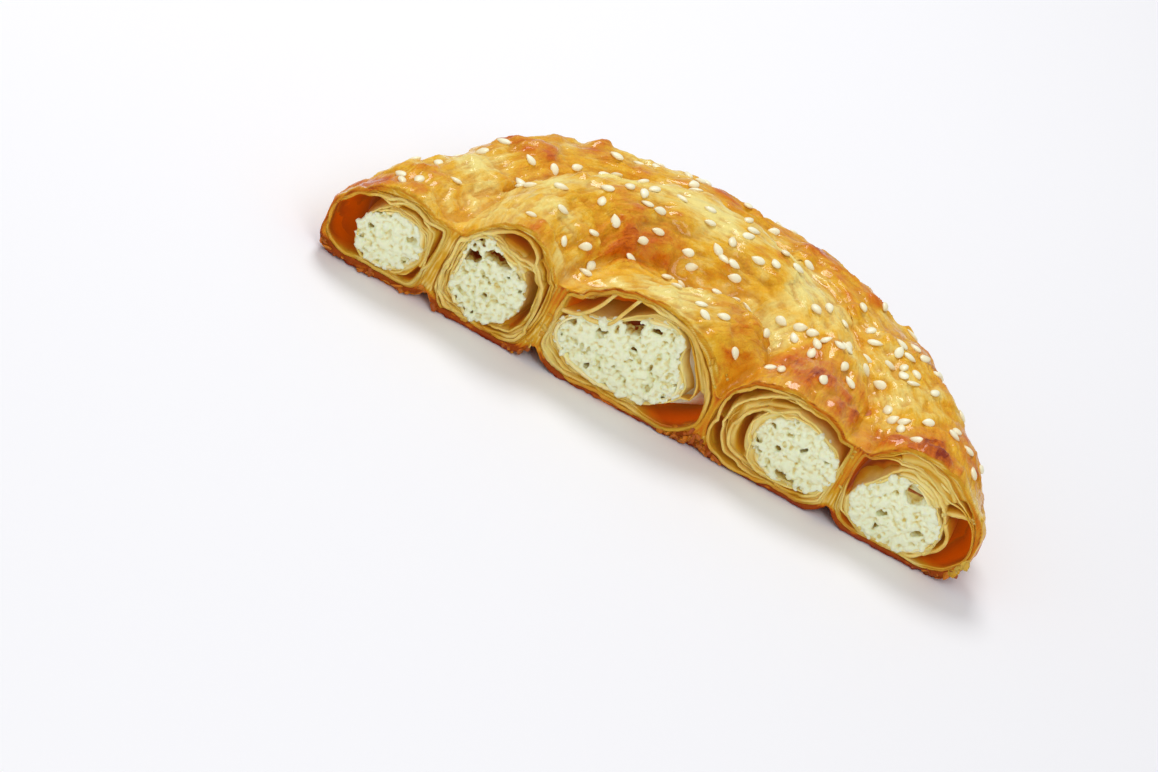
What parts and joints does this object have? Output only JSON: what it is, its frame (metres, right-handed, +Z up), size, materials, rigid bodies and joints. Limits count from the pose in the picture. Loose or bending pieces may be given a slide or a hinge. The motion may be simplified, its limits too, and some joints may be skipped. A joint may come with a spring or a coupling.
{
  "type": "rose borek half",
  "caption": "Half of a coiled filo pastry baked golden with sesame, cut straight through to show flaky layers rolled round crumbly white cheese.",
  "frame": {"origin": "middle of the base, on the surface it lies on", "axes": "+X along the straight cut, from the left end to the right end seen from the cut; +Y from the cut into the pastry; +Z up"},
  "size_m": [0.1614, 0.0812, 0.0327],
  "materials": {
    "baked_pastry": "egg-glazed baked filo, golden yellow with orange-brown bulges, pale cream layers at the cut and a browned flaky base",
    "white_cheese": "moist off-white crumbly curd cheese",
    "sesame": "small cream sesame seeds stuck to the glaze"
  },
  "bodies": {
    "root": {"pastry": "baked_pastry", "cheese_outer": "white_cheese", "cheese_middle": "white_cheese", "cheese_inner": "white_cheese"}
  },
  "joints": []
}
